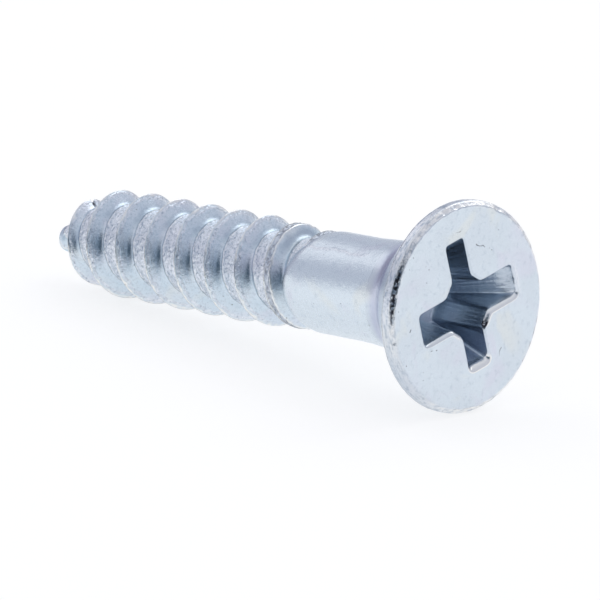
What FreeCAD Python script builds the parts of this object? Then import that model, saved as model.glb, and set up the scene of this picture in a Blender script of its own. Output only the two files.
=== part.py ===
import FreeCAD, Part
import math
import os
import Sketcher

# Cold-headed countersunk wood screw, lying along X.
# Origin: centre of the flat head face. +X points out of the head, towards the driver.
# Every region is modelled in a working frame whose X is the distance behind the head face,
# then turned half a turn about Z, so that the point of the screw ends up at -X.

doc = FreeCAD.newDocument("wood_screw")
sheet = doc.addObject("Spreadsheet::Sheet", "Dimensions")
HALF_TURN = FreeCAD.Placement(
    FreeCAD.Vector(0, 0, 0), FreeCAD.Rotation(FreeCAD.Vector(0, 0, 1), 180)
)

SIZES = [
    # whole screw
    ("length", 31.75),
    # countersunk head
    ("head_radius", 5.73),
    ("face_radius", 5.43),
    ("edge_drop", 0.25),
    ("edge_round", 0.32),
    ("band_end", 0.72),
    ("cone_half_angle", 41.0),
    ("neck_radius", 2.96),
    ("neck_fillet", 1.6),
    ("head_end", 4.8),
    # plain shank
    ("shank_radius", 2.83),
    ("flare_end", 7.0),
    ("shank_end", 10.2),
    ("shoulder_end", 11.15),
    ("shoulder_radius", 2.56),
    # root of the thread and the point
    ("root_start", 11.55),
    ("root_fillet", 0.475),
    ("root_radius", 2.18),
    ("point_start", 26.23),
    ("ogive_end", 29.9),
    ("ogive_radius", 1.4),
    ("nose_start", 31.5),
    ("nose_radius", 0.7),
    ("nose_round", 0.32),
    ("tip_radius", 0.45),
    # helical ridge
    ("thread_radius", 3.007),
    ("pitch", 2.38),
    ("flank_half_angle", 30.0),
    ("crest_land", 0.08),
    ("crest_phase", 12.527),
    ("ridge_start", 10.84),
    ("ridge_end", 31.45),
    ("full_start", 15.44),
    ("runout_radius", 2.73),
    ("tip_share", 0.247),
    ("tip_power", 2.095),
    # cross recess
    ("recess_span", 7.2),
    ("wing_width", 1.64),
    ("wing_depth", 3.4),
    ("wing_end_angle", 26.5),
    ("wing_draft", 5.75),
    ("corner_reach", 1.62),
    ("floor_angle", 73.0),
    ("recess_over", 0.2),
    ("recess_turn", -15.83),
]

# Values that follow from the sizes above.
DERIVED = [
    ("neck_corner", "=band_end + (head_radius - neck_radius) / tan(cone_half_angle * 1deg)"),
    ("neck_tangent", "=neck_fillet * tan(cone_half_angle * 0.5deg)"),
    ("cone_end", "=neck_corner - neck_tangent * cos(cone_half_angle * 1deg)"),
    ("cone_end_radius", "=neck_radius + neck_tangent * sin(cone_half_angle * 1deg)"),
    ("neck_end", "=neck_corner + neck_tangent"),
    ("shoulder_run", "=shoulder_end - shank_end"),
    ("shoulder_fall", "=shank_radius - shoulder_radius"),
    ("shoulder_round", "=(shoulder_run^2 + shoulder_fall^2) / 2 / shoulder_fall"),
    ("ogive_run", "=ogive_end - point_start"),
    ("ogive_fall", "=root_radius - ogive_radius"),
    ("ogive_round", "=(ogive_run^2 + ogive_fall^2) / 2 / ogive_fall"),
    ("recess_radius", "=recess_span / 2"),
    ("recess_top_radius", "=recess_radius + recess_over * tan(wing_end_angle * 1deg)"),
    ("recess_low_radius", "=recess_radius - wing_depth * tan(wing_end_angle * 1deg)"),
    ("floor_height", "=recess_low_radius / tan(floor_angle * 1deg)"),
    ("recess_depth", "=wing_depth + floor_height"),
    ("wing_top", "=wing_width / 2 + recess_over * tan(wing_draft * 1deg)"),
    ("wing_low", "=wing_width / 2 - recess_depth * tan(wing_draft * 1deg)"),
    ("corner_top", "=corner_reach + recess_over * tan(wing_draft * 1deg)"),
    ("corner_low", "=corner_reach - recess_depth * tan(wing_draft * 1deg)"),
]

for row, (alias, value) in enumerate(SIZES + DERIVED, start=1):
    sheet.set("A%d" % row, alias)
    sheet.set("B%d" % row, str(value))
    sheet.setAlias("B%d" % row, alias)
doc.recompute()


def size(alias):
    """Current number behind a name in the sheet; None stands for zero."""
    return 0.0 if alias is None else float(sheet.get(alias))


def bind(thing, **names):
    """Drive properties of an object from the sheet; a leading minus flips the sign."""
    for prop, alias in names.items():
        sign = "-" if alias.startswith("-") else ""
        thing.setExpression(prop, sign + "Dimensions." + alias.lstrip("-"))


# ---------------------------------------------------------------- regions of revolution


def pin_corner(sketch, geo, end, x_alias, y_alias):
    """Fix one end of a profile side at (distance behind the face, radius)."""
    for kind, alias, axis in (("DistanceX", x_alias, -2), ("DistanceY", y_alias, -1)):
        if alias is None:
            sketch.addConstraint(Sketcher.Constraint("PointOnObject", geo, end, axis))
            continue
        rule = Sketcher.Constraint(kind, -1, 1, geo, end, size(alias))
        index = sketch.addConstraint(rule)
        sketch.setExpression("Constraints[%d]" % index, "Dimensions." + alias)


# Outlines run anticlockwise, so a side that bends to its left is hollow.
HOLLOW = 1
ROUNDED = -1


def arc_side(start, end, bend, radius):
    """Arc of a radius between two corners of an outline."""
    chord = end - start
    half = chord.Length / 2
    rise = radius - math.sqrt(radius ** 2 - half ** 2)
    left = FreeCAD.Vector(-chord.y, chord.x, 0).normalize()
    return Part.Arc(start, (start + end) * 0.5 + left * bend * rise, end)


def revolved(label, corners, arcs):
    """Turn a closed profile about the screw axis.

    corners: pairs of sheet names, given round the outline from the axis outwards.
    arcs: number of a curved side, with the way it bends and the name of its radius.
    """
    body = doc.addObject("PartDesign::Body", label)
    body.Label = label
    sketch = body.newObject("Sketcher::SketchObject", label + "_profile")
    plane = [f for f in body.Origin.OriginFeatures if f.Role == "XY_Plane"][0]
    sketch.AttachmentSupport = [(plane, "")]
    sketch.MapMode = "FlatFace"

    points = [FreeCAD.Vector(size(x), size(y), 0) for x, y in corners]
    count = len(points)
    ends = []
    for i in range(count):
        start = points[i]
        end = points[(i + 1) % count]
        if i in arcs:
            bend, radius_alias = arcs[i]
            side = arc_side(start, end, bend, size(radius_alias))
        else:
            bend = None
            side = Part.LineSegment(start, end)
        sketch.addGeometry(side, False)
        # A hollow arc is stored with its two ends swapped.
        ends.append((2, 1) if bend == HOLLOW else (1, 2))
    for i in range(count):
        after = (i + 1) % count
        join = Sketcher.Constraint("Coincident", i, ends[i][1], after, ends[after][0])
        sketch.addConstraint(join)
    for i, names in enumerate(corners):
        pin_corner(sketch, i, ends[i][0], *names)
    for i, (bend, radius_alias) in arcs.items():
        rule = Sketcher.Constraint("Radius", i, size(radius_alias))
        index = sketch.addConstraint(rule)
        sketch.setExpression("Constraints[%d]" % index, "Dimensions." + radius_alias)

    turn = body.newObject("PartDesign::Revolution", label + "_turn")
    turn.Profile = sketch
    turn.ReferenceAxis = (sketch, ["H_Axis"])
    turn.Angle = 360
    body.Tip = turn
    body.Placement = HALF_TURN
    doc.recompute()
    return body


blank = revolved(
    "head_blank",
    [
        (None, None),
        ("head_end", None),
        ("head_end", "neck_radius"),
        ("neck_end", "neck_radius"),
        ("cone_end", "cone_end_radius"),
        ("band_end", "head_radius"),
        ("edge_drop", "head_radius"),
        (None, "face_radius"),
    ],
    {3: (HOLLOW, "neck_fillet"), 6: (ROUNDED, "edge_round")},
)

shank = revolved(
    "shank",
    [
        ("head_end", None),
        ("shoulder_end", None),
        ("shoulder_end", "shoulder_radius"),
        ("shank_end", "shank_radius"),
        ("flare_end", "shank_radius"),
        ("head_end", "neck_radius"),
    ],
    {2: (ROUNDED, "shoulder_round")},
)

root_core = revolved(
    "root_core",
    [
        ("shoulder_end", None),
        ("point_start", None),
        ("point_start", "root_radius"),
        ("root_start", "root_radius"),
        ("shoulder_end", "shoulder_radius"),
    ],
    {3: (HOLLOW, "root_fillet")},
)

point = revolved(
    "point",
    [
        ("point_start", None),
        ("length", None),
        ("length", "tip_radius"),
        ("nose_start", "nose_radius"),
        ("ogive_end", "ogive_radius"),
        ("point_start", "root_radius"),
    ],
    {2: (ROUNDED, "nose_round"), 4: (ROUNDED, "ogive_round")},
)

# ---------------------------------------------------------------- helical ridge

SECTIONS_PER_TURN = 16
# How far the foot of the ridge reaches below the root surface, before it is trimmed to it.
EMBED = 0.12
# Turns over which the ridge rises at its two ends, and the share of its height left there.
START_RAMP = 0.12
END_RAMP = 0.3
END_HEIGHT = 0.3


def limited(value):
    """The value, held between 0 and 1."""
    return max(0.0, min(1.0, value))


def inner_radius(s):
    """Radius of the root surface at distance s behind the head face."""
    if s <= size("point_start"):
        return size("root_radius")
    if s <= size("ogive_end"):
        reach = size("ogive_round")
        run = s - size("point_start")
        return size("root_radius") - reach + math.sqrt(reach ** 2 - run ** 2)
    share = (s - size("ogive_end")) / (size("nose_start") - size("ogive_end"))
    return size("ogive_radius") + share * (size("nose_radius") - size("ogive_radius"))


def crest_radius(s):
    """Outside radius of the ridge: it rises out of the shank and falls along the point."""
    taper = limited((s - size("point_start")) / (size("length") - size("point_start")))
    full = size("thread_radius") * (1 - taper ** size("tip_power") * (1 - size("tip_share")))
    runout = limited((size("full_start") - s) / (size("full_start") - size("ridge_start")))
    return full * (1 - runout) + size("runout_radius") * runout


def ridge_section(turns, first, last):
    """Closed four-sided section of the ridge after a number of turns from the local Y axis."""
    s = size("crest_phase") + size("pitch") * turns
    angle = 2 * math.pi * turns
    slope = math.tan(math.radians(size("flank_half_angle")))
    base = inner_radius(s) - EMBED
    ramp = min(limited((turns - first) / START_RAMP), limited((last - turns) / END_RAMP))
    crest = base + (crest_radius(s) - base) * (END_HEIGHT + (1 - END_HEIGHT) * ramp)
    land = size("crest_land") / 2
    if s < size("full_start"):
        land += (size("thread_radius") - crest_radius(s)) * slope
    foot = land + (crest - base) * slope
    ring = []
    for offset, radius in ((-foot, base), (-land, crest), (land, crest), (foot, base)):
        y = radius * math.cos(angle)
        z = radius * math.sin(angle)
        ring.append(FreeCAD.Vector(s + offset, y, z))
    return Part.makePolygon(ring + ring[:1])


def build_ridge():
    """Loft through sections all the way from the shank's shoulder to the tip."""
    first = (size("ridge_start") - size("crest_phase")) / size("pitch")
    last = (size("ridge_end") - size("crest_phase")) / size("pitch")
    count = int(round((last - first) * SECTIONS_PER_TURN))
    step = (last - first) / count
    wires = [ridge_section(first + step * i, first, last) for i in range(count + 1)]
    return Part.makeLoft(wires, True, False)


ridge = doc.addObject("Part::Feature", "ridge_sweep")
ridge.Shape = build_ridge()
ridge.Placement = HALF_TURN
inside = doc.addObject("Part::MultiFuse", "inside")
inside.Shapes = [shank, root_core, point]
thread = doc.addObject("Part::Cut", "thread")
thread.Label = "thread"
thread.Base = ridge
thread.Tool = inside
doc.recompute()

# ---------------------------------------------------------------- cross recess

ORIGIN = FreeCAD.Vector(0, 0, 0)
SIDEWAYS = FreeCAD.Placement(ORIGIN, FreeCAD.Rotation(FreeCAD.Vector(0, 0, 1), -90))
UPRIGHT = FreeCAD.Placement(ORIGIN, FreeCAD.Rotation(FreeCAD.Vector(0, 1, 0), 90))


def about_axis(degrees):
    return FreeCAD.Placement(ORIGIN, FreeCAD.Rotation(FreeCAD.Vector(1, 0, 0), degrees))


def tapered_block(label, turn, reach_top, reach_low, half_top, half_low):
    """Block that narrows with depth; it starts just above the face and turns about X."""
    block = doc.addObject("Part::Wedge", label)
    bind(block, Xmin="-" + reach_top, Xmax=reach_top, X2min="-" + reach_low, X2max=reach_low)
    bind(block, Zmin="-" + half_top, Zmax=half_top, Z2min="-" + half_low, Z2max=half_low)
    bind(block, Ymin="-recess_over", Ymax="recess_depth")
    block.Placement = about_axis(turn).multiply(SIDEWAYS)
    return block


def depth_cone(label, start, height, **radii):
    """Cone along the depth direction, from a depth and over a height given as expressions."""
    cone = doc.addObject("Part::Cone", label)
    bind(cone, **radii)
    cone.setExpression("Height", height)
    cone.Placement = UPRIGHT
    cone.setExpression("Placement.Base.x", start)
    return cone


blades = [
    tapered_block(
        "blade_%d" % turn, turn, "recess_top_radius", "recess_top_radius", "wing_top", "wing_low"
    )
    for turn in (0, 90)
]
centre = tapered_block("centre", 45, "corner_top", "corner_low", "corner_top", "corner_low")
wings = doc.addObject("Part::MultiFuse", "wings")
wings.Shapes = blades + [centre]
wing_cone = depth_cone(
    "wing_cone",
    "-Dimensions.recess_over",
    "Dimensions.wing_depth + Dimensions.recess_over",
    Radius1="recess_top_radius",
    Radius2="recess_low_radius",
)
floor_cone = depth_cone(
    "floor_cone", "Dimensions.wing_depth", "Dimensions.floor_height", Radius1="recess_low_radius"
)
floor_cone.Radius2 = 0
envelope = doc.addObject("Part::MultiFuse", "recess_envelope")
envelope.Shapes = [wing_cone, floor_cone]
recess = doc.addObject("Part::MultiCommon", "drive_recess")
recess.Shapes = [wings, envelope]
recess.Placement = HALF_TURN.multiply(about_axis(size("recess_turn")))
head = doc.addObject("Part::Cut", "head")
head.Label = "head"
head.Base = blank
head.Tool = recess
doc.recompute()

# ---------------------------------------------------------------- checks and export

# Room for the volume of the recess, in cubic millimetres.
LEAST_RECESS = 20
MOST_RECESS = 60

for thing in doc.Objects:
    for flag in ("Invalid", "Error"):
        if flag in thing.State:
            raise RuntimeError("%s is %s" % (thing.Name, flag))

os.makedirs("parts", exist_ok=True)
for node in (head, shank, root_core, thread, point):
    shape = node.Shape
    if shape.isNull() or not shape.isValid() or len(shape.Solids) != 1:
        raise RuntimeError("%s has no single valid solid" % node.Label)
    print(node.Label, round(shape.Volume, 3), "mm3")
    shape.exportStep(os.path.join("parts", node.Label + ".step"))

removed = blank.Shape.Volume - head.Shape.Volume
print("recess", round(removed, 3), "mm3")
if not LEAST_RECESS < removed < MOST_RECESS:
    raise RuntimeError("the recess is not cut into the head")
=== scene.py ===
"""Looks for a zinc-plated countersunk wood screw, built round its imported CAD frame."""

import math
from types import SimpleNamespace

import bpy
import numpy as np
from mathutils import Matrix, Vector


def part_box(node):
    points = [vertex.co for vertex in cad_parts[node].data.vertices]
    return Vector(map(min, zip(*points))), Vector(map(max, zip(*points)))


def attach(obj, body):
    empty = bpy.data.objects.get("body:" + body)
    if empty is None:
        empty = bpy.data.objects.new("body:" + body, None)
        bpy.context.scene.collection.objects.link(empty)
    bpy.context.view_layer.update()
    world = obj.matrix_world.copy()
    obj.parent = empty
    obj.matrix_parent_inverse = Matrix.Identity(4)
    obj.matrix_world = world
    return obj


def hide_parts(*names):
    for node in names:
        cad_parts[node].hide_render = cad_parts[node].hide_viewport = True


MM = 0.001
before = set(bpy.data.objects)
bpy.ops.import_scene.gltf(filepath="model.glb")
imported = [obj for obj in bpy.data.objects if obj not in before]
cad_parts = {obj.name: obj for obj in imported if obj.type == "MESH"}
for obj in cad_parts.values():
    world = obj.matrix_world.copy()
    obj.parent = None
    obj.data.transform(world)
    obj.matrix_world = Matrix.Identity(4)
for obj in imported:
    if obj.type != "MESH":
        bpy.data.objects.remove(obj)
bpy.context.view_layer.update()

# ---------------------------------------------------------------- sizes, in millimetres
# "Depth" is the distance behind the head face, and "turn" the angle round the axis, from -Y
# towards +Z, in radians.

LENGTH = -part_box("point")[0][0] / MM
HEAD_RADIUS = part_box("head")[1][2] / MM
HEAD_END = -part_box("head")[0][0] / MM
SHOULDER_END = -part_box("shank")[0][0] / MM
ROOT_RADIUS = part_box("point")[1][2] / MM
POINT_START = -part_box("point")[1][0] / MM

# Columns of points round the head and the shank.
COLUMNS = 384
FULL_CIRCLE = 2 * math.pi


def smooth(low, high, value):
    """0 at low, 1 at high, and a smooth step between them; low may be the larger one."""
    share = np.clip((value - low) / (high - low), 0, 1)
    return share * share * (3 - 2 * share)


def ripple(points, wavelength, seed, waves=26):
    """Smooth random field of about unit size; points are in millimetres."""
    random = np.random.default_rng(seed)
    heading = random.normal(size=(waves, 3))
    heading /= np.linalg.norm(heading, axis=1)[:, None]
    rate = FULL_CIRCLE / wavelength * random.uniform(0.6, 1.5, waves)
    start = random.uniform(0, FULL_CIRCLE, waves)
    total = np.zeros(len(points))
    for direction, speed, offset in zip(heading, rate, start):
        total += np.sin(points @ direction * speed + offset)
    return total * math.sqrt(2 / waves)


def place(depth, radius, turn):
    """Points in the row frame, in millimetres."""
    return np.column_stack([-depth, -radius * np.cos(turn), radius * np.sin(turn)])


def column_angles():
    """Angle of each column, from the first one."""
    return np.arange(COLUMNS) * FULL_CIRCLE / COLUMNS


def turn_from(turns, middle):
    """Angle from a middle turn, between minus and plus half a circle."""
    return (turns - middle + math.pi) % FULL_CIRCLE - math.pi


# ---------------------------------------------------------------- materials


class Nodes:
    """Short calls for building a node tree."""

    def __init__(self, material):
        self.tree = material.node_tree
        self.tree.nodes.clear()

    def fill(self, socket, value):
        """Link a socket to another one, or give it a constant."""
        if isinstance(value, bpy.types.NodeSocket):
            self.tree.links.new(value, socket)
        else:
            socket.default_value = value

    def add(self, kind, inputs=None, **settings):
        node = self.tree.nodes.new(kind)
        for name, value in settings.items():
            setattr(node, name, value)
        for key, value in (inputs or {}).items():
            self.fill(node.inputs[key], value)
        return node

    def math(self, operation, *values):
        return self.add("ShaderNodeMath", dict(enumerate(values)), operation=operation).outputs[0]

    def vector(self, operation, inputs, output=0):
        return self.add("ShaderNodeVectorMath", inputs, operation=operation).outputs[output]

    def mix(self, share, a, b):
        # Of the mix node's sockets, 0 is the factor, 6 and 7 are the colours, and 2 the result.
        node = self.add("ShaderNodeMix", data_type="RGBA")
        self.fill(node.inputs[0], share)
        self.fill(node.inputs[6], a)
        self.fill(node.inputs[7], b)
        return node.outputs[2]

    def ramp(self, value, low, high, to_low=0.0, to_high=1.0):
        inputs = {"Value": value, "From Min": low, "From Max": high}
        inputs.update({"To Min": to_low, "To Max": to_high})
        node = self.add("ShaderNodeMapRange", inputs, interpolation_type="SMOOTHSTEP")
        return node.outputs[0]

    def noise(self, where, scale, detail=3.0, roughness=0.55, distortion=0.0):
        """Noise with about this many spots per millimetre."""
        inputs = {"Vector": where, "Scale": scale, "Detail": detail}
        inputs.update({"Roughness": roughness, "Distortion": distortion})
        return self.add("ShaderNodeTexNoise", inputs).outputs[0]

    def attribute(self, name):
        return self.add("ShaderNodeAttribute", attribute_name=name).outputs["Fac"]


LAVENDER = (0.66, 0.64, 0.76, 1)
CREAM = (0.80, 0.79, 0.70, 1)
VIOLET = (0.46, 0.44, 0.70, 1)
# The dark blue-grey below also paints shade, the pale worn colour also paints highlights, and the black
# also paints dark reflections and shade.
DARK = (0.20, 0.29, 0.40, 1)
WORN_AND_HIGHLIGHT = (0.94, 0.93, 0.90, 1)
SKIN = (0.88, 0.89, 0.94, 1)
PIT = (0.09, 0.09, 0.10, 1)
BLACK = (0.03, 0.03, 0.04, 1)
FACE_TINT = (0.64, 0.71, 0.78, 1)
SHANK_TINT = (0.69, 0.77, 0.84, 1)
# The thread's tint is darker than the shank's: painted shade on the thread.
THREAD_TINT = (0.56, 0.69, 0.79, 1)

SCRATCH_SHAKE = 0.35
SCRATCH_EDGE = 0.035
SCRATCH_CORE = 0.012
BUMP_HEIGHT = 0.018


def scratch(n, where, start, end):
    """Ragged line between two places on the head face, given as (Y, Z) in millimetres."""
    start = Vector((0, *start))
    along = Vector((0, *end)) - start
    shake = n.add("ShaderNodeTexNoise", {"Vector": where, "Scale": 3.0, "Detail": 4.0}).outputs["Color"]
    shake = n.vector("SUBTRACT", {0: shake, 1: (0.5, 0.5, 0.5)})
    shake = n.vector("SCALE", {0: shake, 3: SCRATCH_SHAKE})
    spot = n.vector("ADD", {0: where, 1: shake})
    spot = n.vector("SUBTRACT", {0: spot, 1: start})
    reach = n.vector("DOT_PRODUCT", {0: spot, 1: along}, "Value")
    reach = n.add("ShaderNodeMath", {0: reach, 1: along.length_squared}, operation="DIVIDE", use_clamp=True)
    nearest = n.vector("SCALE", {0: along, 3: reach.outputs[0]})
    gap = n.vector("DISTANCE", {0: spot, 1: nearest}, "Value")
    broken = n.ramp(n.noise(where, 4.5, 2.0), 0.40, 0.52)
    return n.math("MULTIPLY", n.ramp(gap, SCRATCH_EDGE, SCRATCH_CORE), broken)


def zinc_tint(n, where, body, shares):
    """Colour of the plating: clouds of tint, then the marks that the vertex shares ask for."""
    cloud = n.noise(where, 0.45, 2.0)
    drift = n.noise(where, 0.33, 2.0, distortion=0.6)
    mottle = n.noise(where, 3.0, 4.0, 0.65)
    grit = n.noise(where, 7.0, 3.0, 0.7)
    tint = n.mix(n.ramp(cloud, 0.40, 0.62, 0.0, 0.45), body, SHANK_TINT)
    tint = n.mix(n.ramp(drift, 0.52, 0.70, 0.0, 0.40), tint, LAVENDER)
    tint = n.mix(n.ramp(drift, 0.44, 0.30, 0.0, 0.30), tint, CREAM)
    tint = n.mix(n.ramp(mottle, 0.50, 0.75, 0.0, 0.22), tint, DARK)
    tint = n.mix(n.math("MULTIPLY", shares["coarse"], 0.8), tint, SKIN)
    speckled = n.math("MULTIPLY", n.ramp(grit, 0.50, 0.66), shares["coarse"])
    tint = n.mix(n.math("MULTIPLY", speckled, 0.6), tint, DARK)
    tint = n.mix(n.math("MULTIPLY", shares["violet"], 0.45), tint, VIOLET)
    # The next three mixes paint darker plating and painted shade, worn edges and painted highlights, then
    # black marks and painted dark reflections.
    tint = n.mix(shares["dull"], tint, DARK)
    tint = n.mix(shares["worn"], tint, WORN_AND_HIGHLIGHT)
    broken = n.ramp(n.noise(where, 6.0, 3.0), 0.36, 0.50)
    return n.mix(n.math("MULTIPLY", shares["soot"], broken), tint, BLACK)


def pits(n, where, marks):
    """Small round pits scattered over the plating, and the scratches."""
    speck = n.add("ShaderNodeTexVoronoi", {"Vector": where, "Scale": 1.9, "Randomness": 1.0})
    size = n.noise(where, 1.3, 0.0)
    pit = n.ramp(speck.outputs["Distance"], 0.075, 0.03)
    pit = n.math("MULTIPLY", pit, n.ramp(size, 0.50, 0.58))
    for start, end in marks:
        pit = n.math("MAXIMUM", pit, scratch(n, where, start, end))
    return pit


def zinc_height(n, where, fine, pit, coarse, grain_height):
    """Height of the plating's grain, in units of the bump height."""
    grain = n.noise(where, 3.2, 3.0, 0.6)
    lumps = n.noise(where, 5.0, 4.0, 0.75)
    pebble = n.noise(where, 5.5, 3.0, 0.7)
    height = n.math("MULTIPLY", fine, 0.22)
    height = n.math("ADD", height, n.math("MULTIPLY", grain, 0.35))
    height = n.math("ADD", height, n.math("MULTIPLY", pebble, grain_height))
    height = n.math("ADD", height, n.math("MULTIPLY", n.math("MULTIPLY", lumps, coarse), 3.2))
    return n.math("SUBTRACT", height, n.math("MULTIPLY", pit, 1.2))


SHARE_NAMES = ("worn", "dull", "coarse", "violet", "soot")


def zinc(name, body, smoothness=0.24, grain_height=0.25, marks=()):
    """Bright zinc with a clear blue passivate: satin, faintly tinted, pitted and scratched.

    The pieces carry shares per vertex: ragged bright edges, which also paint highlights; darker
    plating, which also paints shade; coarse (rough skin); violet (thick passivate in a hollow);
    and black marks, which also paint dark reflections and shade.
    """
    material = bpy.data.materials.new(name)
    material.use_nodes = True
    n = Nodes(material)
    spot = n.add("ShaderNodeTexCoord").outputs["Object"]
    where = n.vector("SCALE", {0: spot, 3: 1 / MM})
    shares = {share: n.attribute(share) for share in SHARE_NAMES}
    pit = pits(n, where, marks)
    tint = zinc_tint(n, where, body, shares)
    tint = n.mix(n.math("MULTIPLY", pit, 0.85), tint, PIT)
    fine = n.noise(where, 14.0, 5.0, 0.6)
    rough = n.math("MULTIPLY_ADD", fine, 0.16, smoothness - 0.08)
    rough = n.math("SUBTRACT", rough, n.math("MULTIPLY", shares["worn"], 0.10))
    height = zinc_height(n, where, fine, pit, shares["coarse"], grain_height)
    bump = n.add("ShaderNodeBump", {"Height": height, "Strength": 1.0, "Distance": BUMP_HEIGHT * MM})
    shader = n.add(
        "ShaderNodeBsdfPrincipled",
        {"Base Color": tint, "Roughness": rough, "Normal": bump.outputs[0], "Metallic": 1.0},
    )
    n.add("ShaderNodeOutputMaterial", {"Surface": shader.outputs[0]})
    return material


# ---------------------------------------------------------------- mesh helpers


def grid_faces(rows, columns):
    """Quads between closed rows of points that follow each other in the vertex list."""
    row = np.arange(rows - 1)[:, None] * columns
    column = np.arange(columns)[None, :]
    after = (column + 1) % columns
    corners = [row + column, row + after, row + columns + after, row + columns + column]
    return np.stack([c.ravel() for c in np.broadcast_arrays(*corners)], axis=1).tolist()


def make_piece(name, points, faces, material, nodes, shares):
    """A smooth mesh that rides on the screw and stands for the given CAD nodes."""
    mesh = bpy.data.meshes.new(name)
    mesh.from_pydata((points * MM).tolist(), [], faces)
    for share in SHARE_NAMES:
        values = np.zeros(len(points)) + shares.get(share, 0)
        layer = mesh.attributes.new(share, "FLOAT", "POINT")
        layer.data.foreach_set("value", np.clip(values, 0, 1).astype(np.float32))
    mesh.validate()
    mesh.shade_smooth()
    mesh.materials.append(material)
    piece = bpy.data.objects.new(name, mesh)
    bpy.context.scene.collection.objects.link(piece)
    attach(piece, "root")
    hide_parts(*nodes)
    return piece


class Rings:
    """Closed rings of points, each followed by the next, with the shares of their vertices."""

    def __init__(self):
        self.rows = []
        self.shares = {name: [] for name in SHARE_NAMES}

    def add(self, points, **shares):
        self.rows.append(points)
        for name, values in self.shares.items():
            values.append(np.zeros(COLUMNS) + shares.get(name, 0))

    def points(self):
        return np.vstack(self.rows)

    def joined_shares(self):
        return {name: np.concatenate(values) for name, values in self.shares.items()}


# ---------------------------------------------------------------- recess of the head

# The recess has four arms, counted from the one nearest -Y towards +Z, and each stretch of its
# outline runs from the end of one arm, round the corner, to the end of the next.
RECESS_TURN = math.radians(-15.83)
RECESS_DEPTH = 3.4
ARM_REACH = (3.50, 3.78, 3.70, 3.22)
ARM_BEFORE = (0.75, 0.68, 0.98, 0.80)
ARM_AFTER = (1.03, 0.72, 0.75, 0.73)
CORNER_REACH = (1.70, 1.63, 1.62, 1.46)
WING_SLOPE = math.tan(math.radians(26.5))
DRAFT = math.tan(math.radians(5.75))
SIDE_COUNTS = (14, 24, 20, 24, 14)
# The floor is a shallow cone that is RECESS_DEPTH deep at this distance from the axis.
FLOOR_EDGE = 1.9
FLOOR_SLOPE = 1 / math.tan(math.radians(73))
# Width of the rolled lip on: half the arm's end, its side, the corner, the next arm's side
# and half its end.
LIP_WIDTHS = (
    (0.10, 0.05, 0.07, 0.05, 0.06),
    (0.06, 0.09, 0.09, 0.07, 0.10),
    (0.12, 0.27, 0.25, 0.09, 0.38),
    (0.38, 0.10, 0.24, 0.22, 0.12),
)
LIP_POWER = 1.5
LIP_STEPS = 11
# One arm ends in rough metal that falls away from the face.
ROUGH_ARM = 2
ROUGH_DEPTH = 0.6
ROUGH_FALL = 0.3
ROUGH_HEIGHT = 0.03
DRAW_HEIGHT = 0.005


def near_column(middle, reach):
    """Share that fades with the distance, in columns, from one column of the outline."""
    return np.exp(-(((np.arange(COLUMNS) - middle) / reach) ** 2))


# Each arm takes a quarter of the columns, so arm 1 ends at column 96 and arm 2 at column 192.
ROUGH_END = near_column(ROUGH_ARM * COLUMNS // 4, 13)
SMALL_PATCH = 0.5 * near_column(88, 6)
# A black spot in one corner of the lip: a painted dark reflection.
CORNER_DARK_REFLECTION = 1.4 * near_column(246, 5)


def blurred(values, times):
    """Closed list of values, smoothed with its neighbours."""
    for _ in range(times):
        values = (np.roll(values, 1, 0) + 2 * values + np.roll(values, -1, 0)) / 4
    return values


def recess_outline(depth):
    """Closed outline of the recess at a depth, in the plane of the face; arm 0 starts it."""
    reach = np.array(ARM_REACH) - depth * WING_SLOPE
    reach[ROUGH_ARM] -= min(depth, ROUGH_DEPTH) * ROUGH_FALL
    outline = []
    for arm in range(4):
        following = (arm + 1) % 4
        here, there = reach[arm], reach[following]
        half = ARM_AFTER[arm] - depth * DRAFT
        next_half = ARM_BEFORE[following] - depth * DRAFT
        corner = (CORNER_REACH[arm] - depth * DRAFT) * math.sqrt(2)
        stops = [(here, 0), (here, half), (corner - half, half)]
        stops += [(next_half, corner - next_half), (next_half, there), (0, there)]
        turned = Matrix.Rotation(arm * math.pi / 2, 2)
        for count, start, end in zip(SIDE_COUNTS, stops[:-1], stops[1:]):
            for step in range(count):
                outline.append(tuple(turned @ Vector(start).lerp(Vector(end), step / count)))
    return blurred(np.array(outline), 12)


def outward(outline):
    """Unit directions that lead away from a closed outline."""
    along = np.roll(outline, -1, 0) - np.roll(outline, 1, 0)
    away = np.column_stack([along[:, 1], -along[:, 0]])
    return away / np.linalg.norm(away, axis=1)[:, None]


def lip_widths():
    """Width of the rolled lip all round the outline."""
    widths = [w for arm in LIP_WIDTHS for count, w in zip(SIDE_COUNTS, arm) for _ in range(count)]
    return blurred(np.array(widths), 14)


def ring(outline, depth):
    """Outline in the plane of the face, as row-frame points at one depth or a depth each."""
    radius = np.hypot(outline[:, 0], outline[:, 1])
    turn = np.arctan2(outline[:, 1], outline[:, 0]) + RECESS_TURN
    return place(np.zeros(len(outline)) + depth, radius, turn)


def floor_depth(distance):
    """Depth of the recess's floor at a distance from the axis."""
    return RECESS_DEPTH + (FLOOR_EDGE - distance) * FLOOR_SLOPE


def add_floor(rings):
    """Floor of the recess, from the middle outwards."""
    outline = recess_outline(RECESS_DEPTH)
    edge = np.hypot(outline[:, 0], outline[:, 1])
    for share in (0.02, 0.2, 0.4, 0.6, 0.8, 0.92):
        # The floor is painted dark: thinner plating and painted shade.
        rings.add(ring(outline * share, floor_depth(edge * share)), dull=0.40, coarse=0.1)


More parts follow.
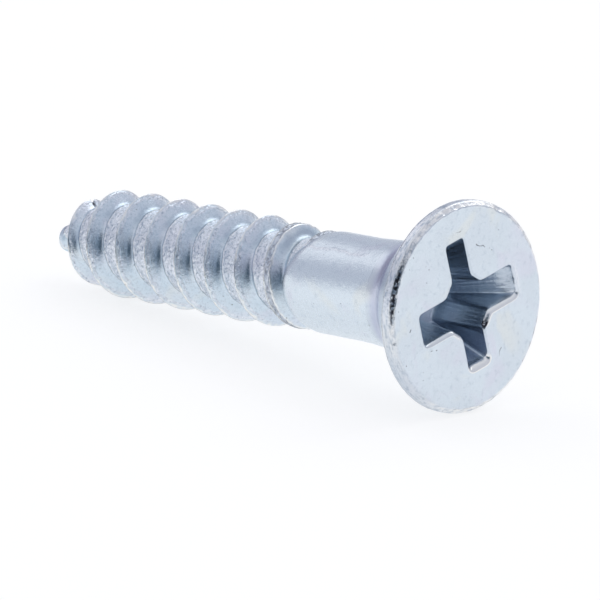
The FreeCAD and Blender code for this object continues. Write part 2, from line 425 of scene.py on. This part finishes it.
def add_walls(rings, away, lip):
    """Walls of the recess, from the floor up to the lip, with fine draw lines along them."""
    lowest = recess_outline(RECESS_DEPTH)
    base = floor_depth(np.hypot(lowest[:, 0], lowest[:, 1]))
    line_number = np.arange(COLUMNS) * 0.1
    draw = DRAW_HEIGHT * ripple(np.column_stack([line_number] * 3) * 3, 1.0, seed=41)
    # The walls are painted dark, thinner plating and painted shade, and two arms in deeper painted shade
    # than the others.
    shade = 0.38 + 0.06 * np.cos(column_angles() + math.pi / 4)
    for share in np.linspace(0, 1, 16)[:-1]:
        lines = (draw * smooth(0, 0.3, share))[:, None]
        outline = recess_outline(RECESS_DEPTH * (1 - share)) + away * lines
        points = ring(outline, base * (1 - share) + lip * share)
        patch = ROUGH_END * smooth(0.72, 0.95, share) + SMALL_PATCH * smooth(0.75, 0.9, share)
        points[:, 0] += patch * ROUGH_HEIGHT * ripple(points, 0.3, seed=43)
        rings.add(points, dull=shade + 0.12 * patch, coarse=0.08 + 0.55 * patch)


def add_lip(rings, mouth, away, lip):
    """Rolled lip, from the top of the walls to the face, with painted highlights along it, painted shade at
    its edges and a painted dark reflection, a black spot, in one corner.
    """
    for angle in np.radians(np.linspace(90, 0, LIP_STEPS)):
        out = 1 - math.sin(angle) ** (2 / LIP_POWER)
        down = 1 - max(math.cos(angle), 0) ** (2 / LIP_POWER)
        share = math.degrees(angle) / 90
        points = ring(mouth + away * (lip * out)[:, None], lip * down)
        points[:, 0] -= ROUGH_END * share * ROUGH_HEIGHT * (1 + ripple(points, 0.3, seed=44))
        rings.add(
            points,
            dull=0.5 * share ** 3 * smooth(0.2, 0.1, lip) + 0.18 * (1 - share) ** 2,
            worn=0.8 * smooth(0.12, 0.3, lip),
            coarse=0.1 + 0.4 * ROUGH_END,
            soot=CORNER_DARK_REFLECTION * smooth(0.05, 0.2, share) * smooth(1.0, 0.85, share),
        )


# ---------------------------------------------------------------- face and outside of the head

FACE_RADIUS = HEAD_RADIUS - 0.3
EDGE_DROP = 0.25
BAND_END = 0.72
CONE_ANGLE = 41
CONE_SLOPE = math.tan(math.radians(CONE_ANGLE))
NECK_RADIUS = 2.96
NECK_FILLET = 1.6
# A black streak on the rim, which tapers to nothing at both ends: a painted dark reflection.
REFLECTION_STREAK_TURN = math.radians(15)
REFLECTION_STREAK_HALF_SPAN = 0.32
REFLECTION_STREAK_HALF_WIDTH = 0.10
REFLECTION_STREAK_DEPTH = 0.12
# A stretch of the rim that is darker, with fewer bright edges.
DARKER_RIM_TURN = math.radians(-38)
DARKER_RIM_SPAN = 0.7
# Handling scratches on the face, each from one (Y, Z) to another.
FACE_MARKS = (
    ((0.34, 3.62), (0.73, 3.25)),
    ((0.73, 3.25), (1.18, 3.15)),
    ((1.18, 3.15), (1.82, 2.88)),
    ((2.30, -2.98), (2.57, -2.51)),
    ((-0.78, 4.15), (-0.56, 4.20)),
    ((-2.86, -2.01), (-2.30, -1.95)),
    ((-4.36, -0.78), (-4.16, -0.57)),
)


def add_face(rings, lip_line, turns):
    """The flat face, faintly dished, from the lip out to its round edge."""
    rim = FACE_RADIUS * np.column_stack([np.cos(turns - RECESS_TURN), np.sin(turns - RECESS_TURN)])
    for share in np.linspace(0, 1, 28)[1:-1]:
        flat = ring(lip_line * (1 - share) + rim * share, 0)
        sag = 0.006 + 0.006 * ripple(flat, 2.4, seed=5) + 0.004 * ripple(flat, 0.9, seed=6)
        flat[:, 0] -= np.abs(sag) * min(1, 4 * share, 4 * (1 - share))
        rings.add(flat, coarse=0.04 + 0.8 * ROUGH_END * smooth(0.2, 0, share))


def head_profile():
    """(depth, radius) down the outside of the head, from the face's edge to the neck."""
    # The round edge, the band behind it and the band's own round end.
    spots = [(0.0, FACE_RADIUS), (0.012, FACE_RADIUS + 0.03), (0.035, FACE_RADIUS + 0.06)]
    spots += [(0.08, FACE_RADIUS + 0.11), (0.13, FACE_RADIUS + 0.17), (0.18, FACE_RADIUS + 0.23)]
    spots += [(0.22, FACE_RADIUS + 0.27), (EDGE_DROP + 0.02, HEAD_RADIUS - 0.01)]
    spots += [(EDGE_DROP + 0.08 * i, HEAD_RADIUS) for i in range(1, 6)]
    spots += [(BAND_END - 0.03, HEAD_RADIUS - 0.005), (BAND_END, HEAD_RADIUS - 0.03)]
    # The cone, then the fillet that takes it into the neck.
    corner = BAND_END + (HEAD_RADIUS - NECK_RADIUS) / CONE_SLOPE
    reach = NECK_FILLET * math.tan(math.radians(CONE_ANGLE / 2))
    start = corner - reach * math.cos(math.radians(CONE_ANGLE))
    for depth in np.linspace(BAND_END + 0.06, start, 22):
        spots.append((depth, HEAD_RADIUS - (depth - BAND_END) * CONE_SLOPE))
    for angle in np.radians(np.linspace(CONE_ANGLE, 0, 9))[1:]:
        depth = corner + reach - NECK_FILLET * math.sin(angle)
        spots.append((depth, NECK_RADIUS + NECK_FILLET * (1 - math.cos(angle))))
    spots.append((HEAD_END, NECK_RADIUS))
    return spots


def rim_share(depth):
    """1 on the rim of the head, 0 on the face and the cone."""
    return smooth(-0.05, 0.05, depth) * smooth(0.95, 0.70, depth)


def along_rim(depth, turns):
    """Places for a ripple whose spots are drawn out along the rim."""
    return np.column_stack([np.full(COLUMNS, depth * 9), turns * HEAD_RADIUS, turns * 0])


def outside_ring(depth, radius, turns):
    """One ring of the outside: the rim is dented, and the face's edge is nibbled."""
    points = place(np.full(COLUMNS, depth), np.full(COLUMNS, radius), turns)
    dent = 0.005 * ripple(along_rim(depth, turns), 0.9, seed=11) + 0.004 * ripple(points, 2.2, seed=12)
    dent = -np.abs(dent) * rim_share(depth)
    nibbled = smooth(0.1, 1.3, ripple(along_rim(0, turns), 0.5, seed=15))
    lost = 0.05 * smooth(0.0, 0.02, depth) * smooth(0.22, 0.10, depth) * nibbled
    return place(depth + lost, radius + dent - 0.4 * lost, turns)


def outside_shares(depth, turns):
    """How one ring of the outside is worn, scraped, blackened with a painted dark reflection, painted with
    shade underneath and tinted.
    """
    rim = rim_share(depth)
    streaked = along_rim(depth, turns)
    ragged = rim * smooth(0.0, 1.0, ripple(streaked, 0.8, seed=13))
    scraped = smooth(0.4, 1.2, ripple(streaked, 0.6, seed=14))
    bevel = smooth(0.0, 0.04, depth) * smooth(0.27, 0.22, depth)
    taper = 1 - (turn_from(turns, REFLECTION_STREAK_TURN) / REFLECTION_STREAK_HALF_SPAN) ** 2
    half_width = REFLECTION_STREAK_HALF_WIDTH * taper + 0.02 * ripple(streaked, 0.3, seed=16)
    # The black streak on the bevel is a painted dark reflection.
    reflection_streak = bevel * smooth(0.0, 0.03, half_width - abs(depth - REFLECTION_STREAK_DEPTH))
    darker_rim = np.exp(-((turn_from(turns, DARKER_RIM_TURN) / DARKER_RIM_SPAN) ** 2))
    worn = bevel * (0.55 + 0.4 * ragged) + (1 - bevel) * 0.4 * ragged
    worn *= (1 - 0.6 * scraped) * (1 - reflection_streak) * (1 - 0.8 * darker_rim)
    dull = 0.5 * rim * scraped * (1 - 0.7 * darker_rim) + 0.5 * reflection_streak
    dull += 0.28 * rim * darker_rim
    # In the hollow of the neck the passivate is thick and violet; its underside is painted darker and a
    # little more violet: painted shade.
    hollow = smooth(2.4, 3.6, depth) * smooth(4.75, 4.1, depth)
    underside_shade = np.clip(-np.sin(turns), 0, 1)
    dull += hollow * (0.08 + 0.35 * underside_shade)
    violet = hollow * (0.75 + 0.25 * underside_shade)
    return {"dull": dull, "worn": worn, "coarse": 0.04 + 0.45 * rim, "violet": violet, "soot": reflection_streak}


def build_head():
    turns = RECESS_TURN + column_angles()
    mouth = recess_outline(0)
    away = outward(mouth)
    lip = lip_widths()
    rings = Rings()
    add_floor(rings)
    add_walls(rings, away, lip)
    add_lip(rings, mouth, away, lip)
    add_face(rings, mouth + away * lip[:, None], turns)
    for depth, radius in head_profile():
        rings.add(outside_ring(depth, radius, turns), **outside_shares(depth, turns))

    # A point in the middle of the floor closes the first ring, with that ring's shares.
    points = rings.points()
    faces = grid_faces(len(rings.rows), COLUMNS)
    middle = len(points)
    points = np.vstack([points, [[-floor_depth(0), 0, 0]]])
    faces += [[(i + 1) % COLUMNS, i, middle] for i in range(COLUMNS)]
    shares = {name: np.append(values, values[0]) for name, values in rings.joined_shares().items()}
    # Nothing stands proud of the face.
    points[:, 0] = np.minimum(points[:, 0], 0)
    material = zinc("zinc_head", FACE_TINT, marks=FACE_MARKS)
    return make_piece("head_forging", points, faces, material, ["head"], shares)


# ---------------------------------------------------------------- plain shank

SHANK_RADIUS = 2.83
FLARE_END = 7.0
SHANK_END = 10.2
SHOULDER_FALL = 0.27
# The end of the shank, past the shoulder: depth behind its edge, and radius.
SHOULDER_BACK = ((0.10, 2.44), (0.16, 2.27), (0.2, 2.05), (0.22, 1.5), (0.22, 0.5))
# The shoulder starts to lean at this depth, and its lean is set from this turn.
LEAN_START = 9.2
LEAN_TURN = math.radians(15)
# A rough line left by the wire's drawing runs along the shank.
SEAM_TURN = math.radians(52)
SEAM_HALF_WIDTH = 0.035


def shank_profile():
    """(depth, radius) from the neck, along the shank and over its rounded shoulder."""
    spots = []
    for depth in np.linspace(HEAD_END, FLARE_END, 12):
        share = (FLARE_END - depth) / (FLARE_END - HEAD_END)
        spots.append((depth, SHANK_RADIUS + (NECK_RADIUS - SHANK_RADIUS) * share))
    spots += [(depth, SHANK_RADIUS) for depth in np.linspace(FLARE_END, SHANK_END, 18)[1:]]
    span = SHOULDER_END - SHANK_END
    curve = (span ** 2 + SHOULDER_FALL ** 2) / (2 * SHOULDER_FALL)
    for run in np.linspace(0, span, 12)[1:]:
        spots.append((SHANK_END + run, SHANK_RADIUS - curve + math.sqrt(curve ** 2 - run ** 2)))
    spots += [(SHOULDER_END + behind, radius) for behind, radius in SHOULDER_BACK]
    return spots


def shoulder_shift(turns):
    """Shift of the shoulder's edge towards the tip; where the thread starts it is the least."""
    around = turns - LEAN_TURN
    lean = 0.26 * np.cos(around) - 0.35 * np.sin(around)
    return lean + 0.205 * np.cos(2 * around) - 0.145


def seam_share(depth, turns):
    """Share of the drawing seam, which wanders a little along the shank."""
    wander = 0.025 * math.sin(depth * 2.1) + 0.012 * math.sin(depth * 7.3)
    seam = np.exp(-((turn_from(turns + wander, SEAM_TURN) / SEAM_HALF_WIDTH) ** 2))
    return seam * smooth(5.4, 6.2, depth) * smooth(SHOULDER_END, SHANK_END - 0.2, depth)


def build_shank():
    turns = RECESS_TURN + column_angles()
    rings = Rings()
    for depth, radius in shank_profile():
        points = place(np.full(COLUMNS, depth), np.full(COLUMNS, radius), turns)
        wobble = 0.04 * smooth(SHANK_END + 0.1, SHOULDER_END, depth) * ripple(points, 5.0, seed=21)
        wobble += shoulder_shift(turns) * smooth(LEAN_START, SHOULDER_END, depth)
        clear = smooth(HEAD_END, HEAD_END + 0.8, depth)
        dent = clear * (0.004 * ripple(points, 1.8, seed=22) + 0.002 * ripple(points, 0.7, seed=23))
        edge = math.exp(-(((depth - SHOULDER_END) / 0.12) ** 2))
        # The shoulder's edge gets a painted highlight, and the end of the shank past it painted shade.
        rings.add(
            place(depth + wobble, radius - np.abs(dent), turns),
            worn=0.35 * edge,
            dull=0.35 * smooth(SHOULDER_END, SHOULDER_END + 0.15, depth),
            coarse=0.06 + 0.2 * edge + 0.55 * seam_share(depth, turns),
        )
    faces = grid_faces(len(rings.rows), COLUMNS)
    material = zinc("zinc_shank", SHANK_TINT, 0.28, grain_height=0.9)
    return make_piece("plain_shank", rings.points(), faces, material, ["shank"], rings.joined_shares())


# ---------------------------------------------------------------- rolled thread and point

THREAD_RADIUS = 3.0
PITCH = 2.38
# Depth of the crest at turn 0, counted from -Y.
CREST_PHASE = 12.527
FLANK = math.tan(math.radians(30))
# The ridge comes out of the shank low, and reaches its full height at FULL_START; the
# stretch before it is sunk into the shank.
RIDGE_START = 10.84
RUNOUT_RADIUS = 2.73
HIDDEN_DROP = 0.9
FULL_START = 15.44
# Over the point, the crest falls by this share of its radius, on a curve of this power.
POINT_LOSS = 0.753
POINT_POWER = 2.095
# Near the tip it fades into the nib.
FADE_START = 30.0
FADE_END = 30.9
FADE_LOSS = 0.62
# The root's taper: an ogive, then a short cone.
OGIVE_END = 29.9
OGIVE_CURVE = 9.3
CONE_END_SLOPE = 0.72
# The crest starts as two lips, LAND_HALF to each side, which close up between these depths.
LAND_HALF = 0.23
OPEN_CREST = 13.2
CLOSED_CREST = 14.7
# The blunt nib at the tip, which sits low, and the bend of the point before it.
NIB_START = 31.15
NIB_DROP = 0.30
NIB_RADIUS = 0.77
NIB_RUN = 0.6
NIB_POWER = 4.0
TIP_BEND = 0.18
BEND_START = 28.7
BEND_FULL = 29.3
NICK_TURN = 7.25
NICK_DEPTH = 0.16

TURN_COLUMNS = 220
FIRST_TURN = -1.25
LAST_TURN = (NIB_START + NIB_RUN + PITCH / 2 + 0.02 - CREST_PHASE) / PITCH
# Stretches of one pitch on each side of the crest, as (how far, how many steps).
HEAD_SIDE = ((0.10, 5), (0.34, 6), (0.62, 7), (0.76, 4), (PITCH / 2, 5))
TIP_SIDE = ((0.10, 4), (0.34, 5), (0.60, 4), (PITCH / 2, 5))
# How far the foot of the flank is rounded into the root.
HEAD_SIDE_ROUND = 0.24
TIP_SIDE_ROUND = 0.05


def across_pitch():
    """Offsets from the crest, along the axis, over one pitch; negative towards the head."""
    sides = []
    for stretches in (HEAD_SIDE, TIP_SIDE):
        start = 0.0
        side = []
        for end, steps in stretches:
            side += list(np.linspace(start, end, steps + 1)[1:])
            start = end
        sides.append(np.array(side))
    return np.concatenate([-sides[0][::-1], [0.0], sides[1]])


def root_radius(depth):
    """Radius of the root: a cylinder, then the ogive of the point, a short cone and the nib."""
    run = np.clip(depth - POINT_START, 0, OGIVE_END - POINT_START)
    curved = ROOT_RADIUS - OGIVE_CURVE + np.sqrt(OGIVE_CURVE ** 2 - run ** 2)
    straight = np.clip(depth - OGIVE_END, 0, None) * CONE_END_SLOPE
    return np.maximum(curved - straight, NIB_RADIUS)


def crest_radius(depth):
    """Outside radius of the ridge: low where it runs out of the shank, domed at the point."""
    taper = np.clip((depth - POINT_START) / (LENGTH - POINT_START), 0, 1)
    full = THREAD_RADIUS * (1 - POINT_LOSS * taper ** POINT_POWER)
    full = full * (1 - FADE_LOSS * smooth(FADE_START, FADE_END, depth))
    runout = np.clip((FULL_START - depth) / (FULL_START - RIDGE_START), 0, 1)
    hidden = smooth(RIDGE_START - 0.1, RIDGE_START - 0.5, depth)
    return full * (1 - runout) + RUNOUT_RADIUS * runout - HIDDEN_DROP * hidden


def soft_max(a, b, size):
    """Larger of two values, with the crease between them rounded."""
    share = np.clip(0.5 + (a - b) / (2 * size), 0, 1)
    return a * share + b * (1 - share) + size * share * (1 - share)


def crest_marks(path, depth, shifted):
    """Shares of the marks along the crest: two lips and a trough at first, then a burr."""
    marks = SimpleNamespace()
    marks.half_land = LAND_HALF * smooth(CLOSED_CREST, OPEN_CREST, depth)
    closed = smooth(0.06, 0.02, marks.half_land)
    from_crest = np.abs(shifted)
    marks.lips = (1 - closed) * smooth(0.06, 0.02, np.abs(from_crest - marks.half_land))
    marks.trough = (1 - closed) * smooth(marks.half_land, marks.half_land - 0.08, from_crest)
    # The closed crest has a thin burr, with a ragged step on its head side.
    marks.ragged = smooth(-0.6, 0.8, ripple(path, 0.4, seed=37))
    marks.burr = closed * smooth(0.065, 0.025, from_crest) * (0.6 + 0.4 * marks.ragged)
    marks.step = closed * smooth(-0.17, -0.11, shifted) * smooth(-0.045, -0.075, shifted)
    return marks


def flank_marks(turn, shifted, half_land):
    """Shares of the marks on the flanks and the root, which lie mostly on the head side."""
    marks = SimpleNamespace()
    marks.gritty = smooth(-0.42, -0.28, shifted) * smooth(-0.04, -0.10, shifted)
    marks.foot = smooth(-0.30, -0.46, shifted) * smooth(-0.72, -0.60, shifted)
    # The foot of the flank is painted darker on top and on the side towards -Y: painted shade.
    marks.overhead_foot = marks.foot * smooth(0.55, 0.85, np.sin(turn))
    marks.side_foot = smooth(-0.12, -0.40, shifted) * smooth(-0.72, -0.60, shifted)
    marks.side_foot *= np.exp(-((turn_from(turn, 0) / 0.24) ** 2))
    # The root's rough skin starts at a small step past the foot of the flank.
    beyond = np.abs(shifted) - half_land
    head_side = shifted < 0
    marks.ledge = np.where(head_side, smooth(0.56, 0.60, beyond) * smooth(0.70, 0.64, beyond), 0)
    marks.skin = np.where(head_side, smooth(0.60, 0.68, beyond), smooth(0.5, 0.65, beyond))
    marks.round = np.where(head_side, HEAD_SIDE_ROUND, TIP_SIDE_ROUND)
    return marks


def nick_share(number, offset):
    """Share of the nick in the last crest."""
    nick = smooth(0.014, 0.005, np.abs(number - NICK_TURN))
    return nick * smooth(-0.42, -0.28, offset) * smooth(0.25, 0.1, offset)


def thread_surface(path, depth, offset, root, crest, flank):
    """Radius of the ridge and the root together, with their marks."""
    half_land = crest.half_land
    ridge = crest_radius(depth) - np.maximum(np.abs(offset) - half_land, 0) / FLANK
    ridge += 0.012 * crest.lips - 0.06 * crest.trough * (1 + 0.3 * ripple(path, 0.3, seed=38))
    ridge += 0.014 * crest.burr - 0.03 * crest.step * crest.ragged
    root_skin = root + 0.030 * flank.ledge + 0.012 * flank.skin
    grain = 0.010 * ripple(path, 0.8, seed=34) + 0.010 * ripple(path, 0.3, seed=35)
    root_skin += flank.skin * grain
    return soft_max(root_skin, ridge, flank.round)


def close_tip(depth, radius, turn):
    """Points of the surface, with the nib closed in a dome and the tip bent."""
    run = np.clip((depth - NIB_START) / NIB_RUN, 0, 1)
    dome = NIB_RADIUS * (1 - run ** NIB_POWER) ** (1 / NIB_POWER)
    radius = np.where(depth > NIB_START, np.minimum(radius, dome), radius)
    depth = np.where(depth > NIB_START, NIB_START + (LENGTH - NIB_START) * run, depth)
    points = place(depth, radius, turn)
    points[:, 2] -= NIB_DROP * smooth(NIB_START - 0.35, NIB_START + 0.25, depth)
    bend = smooth(BEND_START, BEND_FULL, depth) * smooth(NIB_START, NIB_START - 0.6, depth)
    points[:, 1] += TIP_BEND * bend
    return points, radius


def thread_faces(count, width):
    """Quads of the helical strip: one turn's last edge is the next turn's first edge."""
    index = np.arange((count + 1) * (width + 1)).reshape(count + 1, width + 1)
    index[:-TURN_COLUMNS, width] = index[TURN_COLUMNS:, 0]
    quads = np.stack([index[:-1, :-1], index[1:, :-1], index[1:, 1:], index[:-1, 1:]], axis=-1)
    return quads.reshape(-1, 4)


def build_thread():
    offsets = across_pitch()
    count = int(round((LAST_TURN - FIRST_TURN) * TURN_COLUMNS))
    turn_number = FIRST_TURN + np.arange(count + 1) / TURN_COLUMNS
    number, offset = [m.ravel() for m in np.meshgrid(turn_number, offsets, indexing="ij")]
    turn = FULL_CIRCLE * number
    depth = CREST_PHASE + PITCH * number + offset

    root = root_radius(depth)
    path = place(depth, root, turn)
    wander = 0.018 * ripple(path, 1.1, seed=31) + 0.014 * ripple(path, 0.35, seed=32)
    shifted = offset + wander
    crest = crest_marks(path, depth, shifted)
    flank = flank_marks(turn, shifted, crest.half_land)
    nick = nick_share(number, offset)
    radius = thread_surface(path, depth, offset, root, crest, flank) - NICK_DEPTH * nick
    # The first columns stay hidden inside the shank.
    radius = np.where(depth < RIDGE_START - 0.6, np.minimum(radius, ROOT_RADIUS), radius)
    points, radius = close_tip(depth, radius, turn)

    # Quads that have shrunk to the very tip are left out, with the points that only they use.
    quads = thread_faces(count, len(offsets) - 1)
    quads = quads[radius[quads].max(axis=1) > 1e-6]
    used = np.unique(quads)
    renumber = np.zeros(len(points), dtype=int)
    renumber[used] = np.arange(len(used))
    rough = crest.trough + 0.4 * crest.burr + 0.5 * crest.step + 0.3 * (flank.gritty + flank.foot)
    # The crest's trough and the step by its burr are painted darker, and the trough gets black specks:
    # painted shade in these creases.
    crease_shade = 0.35 * crest.trough + 0.2 * crest.step * crest.ragged
    shares = {
        "worn": 0.75 * crest.burr + 0.6 * crest.lips + 0.4 * flank.ledge,
        "dull": crease_shade + 0.45 * flank.overhead_foot + 0.50 * flank.side_foot,
        "soot": nick + 0.4 * crest.trough * smooth(0.2, 0.8, ripple(path, 0.25, seed=39)),
        "coarse": 0.06 + 0.9 * flank.skin + rough,
    }
    shares = {name: values[used] for name, values in shares.items()}
    faces = renumber[quads].tolist()
    material = zinc("zinc_thread", THREAD_TINT)
    nodes = ["root_core", "thread", "point"]
    return make_piece("rolled_thread", points[used], faces, material, nodes, shares)


build_head()
build_shank()
thread = build_thread()

# ---------------------------------------------------------------- camera

DISTANCE = 379.07 * MM
LENS = 428.4
SENSOR = 36
AZIMUTH = 46.02
ELEVATION = 10.66
HEAD_RIGHT = 8.914 * MM
HEAD_DOWN = 0.410 * MM


def look_axes(azimuth, elevation):
    """Right, up and backwards axes of a camera at these degrees, without any roll."""
    azimuth = math.radians(azimuth)
    elevation = math.radians(elevation)
    back = Vector((
        math.sin(azimuth) * math.cos(elevation),
        -math.cos(azimuth) * math.cos(elevation),
        math.sin(elevation),
    ))
    right = Vector((math.cos(azimuth), math.sin(azimuth), 0))
    return right, back.cross(right), back


def build_camera():
    """Camera that sees the middle of the head face to the right of the picture's centre."""
    right, up, back = look_axes(AZIMUTH, ELEVATION)
    data = bpy.data.cameras.new("camera")
    data.lens = LENS
    data.sensor_width = SENSOR
    data.clip_start = 0.01
    camera = bpy.data.objects.new("camera", data)
    bpy.context.scene.collection.objects.link(camera)
    spot = back * DISTANCE - right * HEAD_RIGHT + up * HEAD_DOWN
    turned = Matrix((right, up, back)).transposed().to_4x4()
    camera.matrix_world = Matrix.Translation(spot) @ turned
    bpy.context.scene.camera = camera


# ---------------------------------------------------------------- floor, light and world

FLOOR_SIZE = 4.0
FLOOR_GAP = 0.00002
FLOOR_TINT = (0.38, 0.38, 0.38, 1)
FLOOR_GLOW = 0.72


def resting_slope(piece, behind):
    """Rise of the floor towards the point, so that it touches the head's rim and the piece.

    Only places further than this behind the rim count.
    """
    slope = 1.0
    for vertex in piece.data.vertices:
        run = -vertex.co.x - BAND_END * MM
        if run > behind:
            slope = min(slope, (HEAD_RADIUS * MM + vertex.co.z) / run)
    return slope


def build_floor():
    """Pale light table."""
    slope = resting_slope(thread, 10 * MM)
    corners = []
    for x, y in ((-1, -1), (1, -1), (1, 1), (-1, 1)):
        x *= FLOOR_SIZE
        y *= FLOOR_SIZE
        rise = -(HEAD_RADIUS * MM) + slope * (-x - BAND_END * MM)
        corners.append((x, y, rise - FLOOR_GAP))
    mesh = bpy.data.meshes.new("floor")
    mesh.from_pydata(corners, [], [(0, 1, 2, 3)])
    floor = bpy.data.objects.new("floor", mesh)
    bpy.context.scene.collection.objects.link(floor)
    material = bpy.data.materials.new("floor")
    material.use_nodes = True
    n = Nodes(material)
    settings = {"Base Color": FLOOR_TINT, "Roughness": 0.9, "Specular IOR Level": 0.0}
    settings.update({"Emission Color": (1, 1, 1, 1), "Emission Strength": FLOOR_GLOW})
    shader = n.add("ShaderNodeBsdfPrincipled", settings)
    n.add("ShaderNodeOutputMaterial", {"Surface": shader.outputs[0]})
    mesh.materials.append(material)


# Round patches of the studio: azimuth, elevation, radius where it fades out, radius of its
# even middle, all in degrees, and colour.
STUDIO_PATCHES = (
    # A dim wall low on the far left.
    (-100, 7, 30, 12, (0.38, 0.37, 0.46, 1)),
    # A pale panel over it.
    (-84, 46, 21, 11, (1.05, 1.04, 1.08, 1)),
    # A bright light overhead, behind the screw.
    (188, 43, 25, 13, (1.7, 1.7, 1.7, 1)),
    # The dark opening round the camera.
    (49, 8, 33, 21, (0.05, 0.09, 0.13, 1)),
)


def build_world():
    """Pale studio: a dark opening round the camera and a bright overhead light at the back."""
    world = bpy.data.worlds.new("studio")
    world.use_nodes = True
    bpy.context.scene.world = world
    n = Nodes(world)
    where = n.add("ShaderNodeTexCoord").outputs["Generated"]
    height = n.add("ShaderNodeSeparateXYZ", {0: where}).outputs[2]
    tone = n.mix(n.ramp(height, 0.02, 0.14), (1.0, 1.0, 1.0, 1), (0.60, 0.62, 0.70, 1))
    tone = n.mix(n.ramp(height, 0.60, 0.95), tone, (0.72, 0.74, 0.80, 1))
    for azimuth, elevation, outside, inside, colour in STUDIO_PATCHES:
        toward = look_axes(azimuth, elevation)[2]
        facing = n.vector("DOT_PRODUCT", {0: where, 1: toward}, "Value")
        limits = [math.cos(math.radians(angle)) for angle in (outside, inside)]
        tone = n.mix(n.ramp(facing, *limits), tone, colour)
    background = n.add("ShaderNodeBackground", {"Color": tone, "Strength": 1.0})
    n.add("ShaderNodeOutputWorld", {"Surface": background.outputs[0]})


def softbox(name, azimuth, elevation, distance, size, power):
    """Round lamp that looks at the origin from these degrees."""
    data = bpy.data.lights.new(name, "AREA")
    data.shape = "DISK"
    data.size = size
    data.energy = power
    lamp = bpy.data.objects.new(name, data)
    bpy.context.scene.collection.objects.link(lamp)
    across, above, away = look_axes(azimuth, elevation)
    turned = Matrix((across, above, away)).transposed().to_4x4()
    lamp.matrix_world = Matrix.Translation(away * distance) @ turned


build_camera()
build_floor()
build_world()
softbox("overhead", 188, 44, distance=0.6, size=0.25, power=0.08)
bpy.context.scene.view_settings.view_transform = "Standard"
